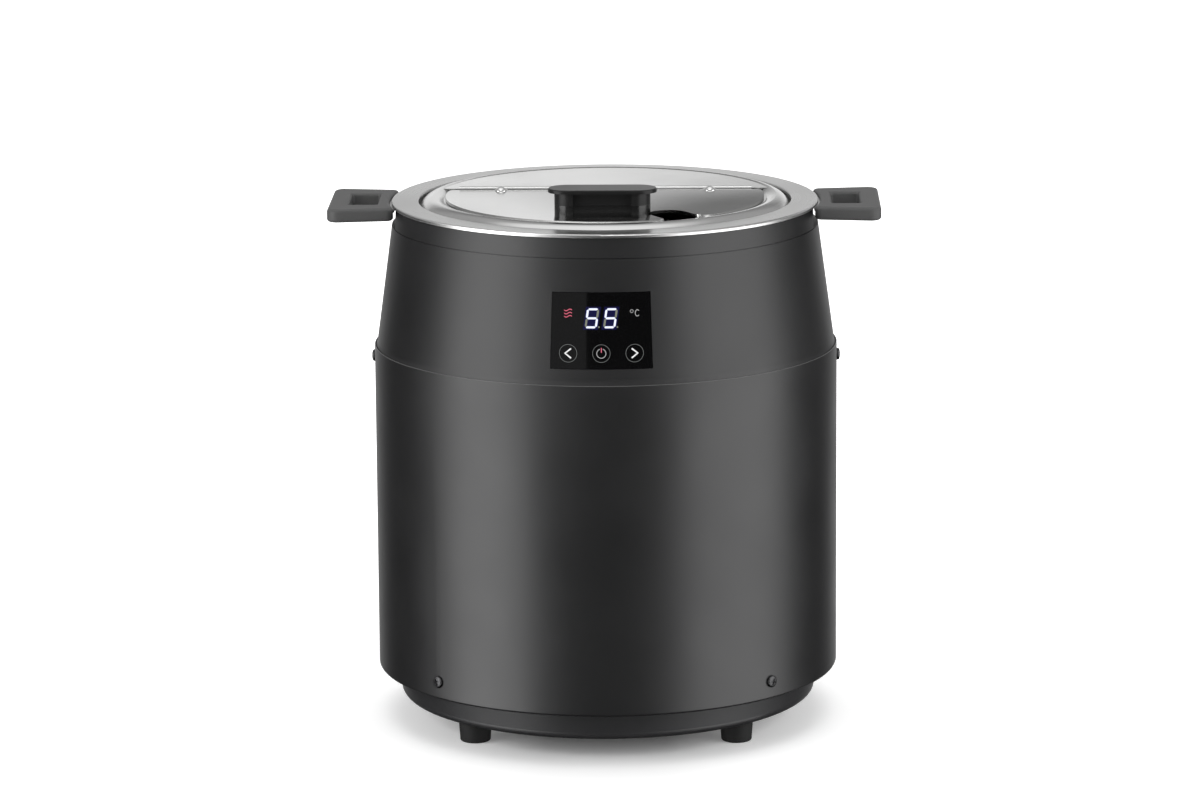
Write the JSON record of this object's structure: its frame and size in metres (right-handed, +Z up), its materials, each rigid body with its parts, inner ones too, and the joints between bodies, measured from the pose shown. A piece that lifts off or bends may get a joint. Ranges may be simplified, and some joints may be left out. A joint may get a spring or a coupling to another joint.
{
  "type": "soup kettle",
  "caption": "Round electric soup kettle: black heated body with a touch panel, lift-out steel pot with side grips, and a steel lid with a hinged front flap and ladle notch.",
  "frame": {"origin": "on the floor, under the middle of the round body", "axes": "+Z up, the control panel faces -Y, the side grips lie along X"},
  "size_m": [0.3666, 0.31, 0.3713],
  "materials": {
    "base_black": "moulded, fine satin",
    "gland_black": "moulded nylon",
    "foot_rubber": "matte",
    "screw_steel": "bright zinc",
    "shell_black": "satin black powder coat",
    "housing_black": "satin moulded",
    "panel_gloss": "high gloss",
    "board_green": "solder mask",
    "display_face": "diffused",
    "spring_brass": "bright",
    "core_yellow": "taped winding",
    "relay_blue": "moulded",
    "terminal_green": "moulded",
    "ribbon_grey": "flexible",
    "well_steel": "drawn",
    "seal_rubber": "silicone",
    "plate_aluminium": "cast",
    "element_steel": "sheathed",
    "cutout_white": "glazed",
    "lead_red": "silicone sleeve",
    "wool_white": "glass wool",
    "pot_steel": "brushed stainless",
    "bracket_steel": "stamped",
    "grip_grey": "matte silicone",
    "lid_steel": "satin stainless",
    "hinge_steel": "bright rolled",
    "handle_black": "satin moulded"
  },
  "bodies": {
    "body": {"base_pan": "base_black", "cable_gland": "gland_black", "foot_rear_right": "foot_rubber", "foot_rear_left": "foot_rubber", "foot_front_left": "foot_rubber", "foot_front_right": "foot_rubber", "foot_screws": "screw_steel", "foot_nuts": "screw_steel", "lower_shell": "shell_black", "shell_screws": "screw_steel", "shoulder_screws": "screw_steel", "upper_housing": "housing_black", "top_collar": "housing_black", "collar_screws": "screw_steel", "control_panel": "panel_gloss", "control_board": "board_green", "display_module": "display_face", "key_springs": "spring_brass", "power_board": "board_green", "transformer": "core_yellow", "heater_relay": "relay_blue", "terminal_block": "terminal_green", "board_screws": "screw_steel", "ribbon_cable": "ribbon_grey", "water_well": "well_steel", "well_rim": "well_steel", "well_seal": "seal_rubber", "heating_plate": "plate_aluminium", "heating_element": "element_steel", "rod_spacer": "screw_steel", "heat_shield": "plate_aluminium", "tie_rod": "screw_steel", "tie_nuts": "screw_steel", "temperature_sensor": "element_steel", "thermal_cutout": "cutout_white", "heater_leads": "lead_red", "insulation_sleeve": "wool_white"},
    "pot": {"pot": "pot_steel", "pot_bracket_right": "bracket_steel", "pot_bracket_left": "bracket_steel", "pot_grip_right": "grip_grey", "pot_grip_left": "grip_grey"},
    "lid": {"lid_plate": "lid_steel", "hinge_leaf_lid": "hinge_steel", "hinge_pin": "hinge_steel"},
    "flap": {"lid_flap": "lid_steel", "hinge_leaf_flap": "hinge_steel", "hinge_rivets": "hinge_steel", "lid_handle_base": "handle_black", "lid_handle_cap": "handle_black", "lid_handle_screws": "screw_steel"}
  },
  "joints": [
    {"name": "pot_lift", "type": "slide", "parent": "body", "child": "pot", "axis": [0, 0, 1], "range_m": [0, 0.25]},
    {"name": "lid_lift", "type": "slide", "parent": "pot", "child": "lid", "axis": [0, 0, 1], "range_m": [0, 0.15]},
    {"name": "flap_hinge", "type": "hinge", "parent": "lid", "child": "flap", "pos_m": [0, 0.024, 0.3527], "axis": [-1, 0, 0], "range_deg": [0, 150]}
  ]
}
